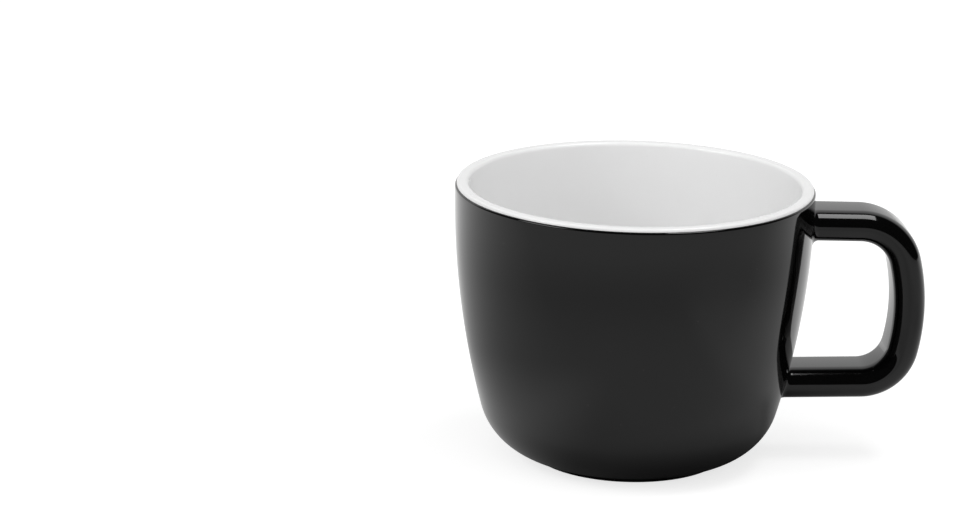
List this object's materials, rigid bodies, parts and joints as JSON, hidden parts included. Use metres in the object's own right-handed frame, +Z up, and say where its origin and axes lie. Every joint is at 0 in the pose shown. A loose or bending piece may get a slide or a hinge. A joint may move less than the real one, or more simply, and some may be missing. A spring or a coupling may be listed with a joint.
{
  "type": "cappuccino cup",
  "caption": "Wide cappuccino cup in two colours: glossy black outer shell with a rounded loop handle and a glossy white liner whose lip caps the rim.",
  "frame": {"origin": "centre of the whole cup's bounding box, on the surface that the foot stands on; the turned body's own axis is 14.45 mm from it towards -X", "axes": "+Z up along the body's axis, +X towards the handle, the XZ plane is the mirror plane"},
  "size_m": [0.1196, 0.0908, 0.0712],
  "materials": {
    "shell_black": "gloss",
    "liner_white": "gloss",
    "handle_black": "gloss"
  },
  "bodies": {
    "root": {"outer_shell": "shell_black", "inner_liner": "liner_white", "handle": "handle_black"}
  },
  "joints": []
}
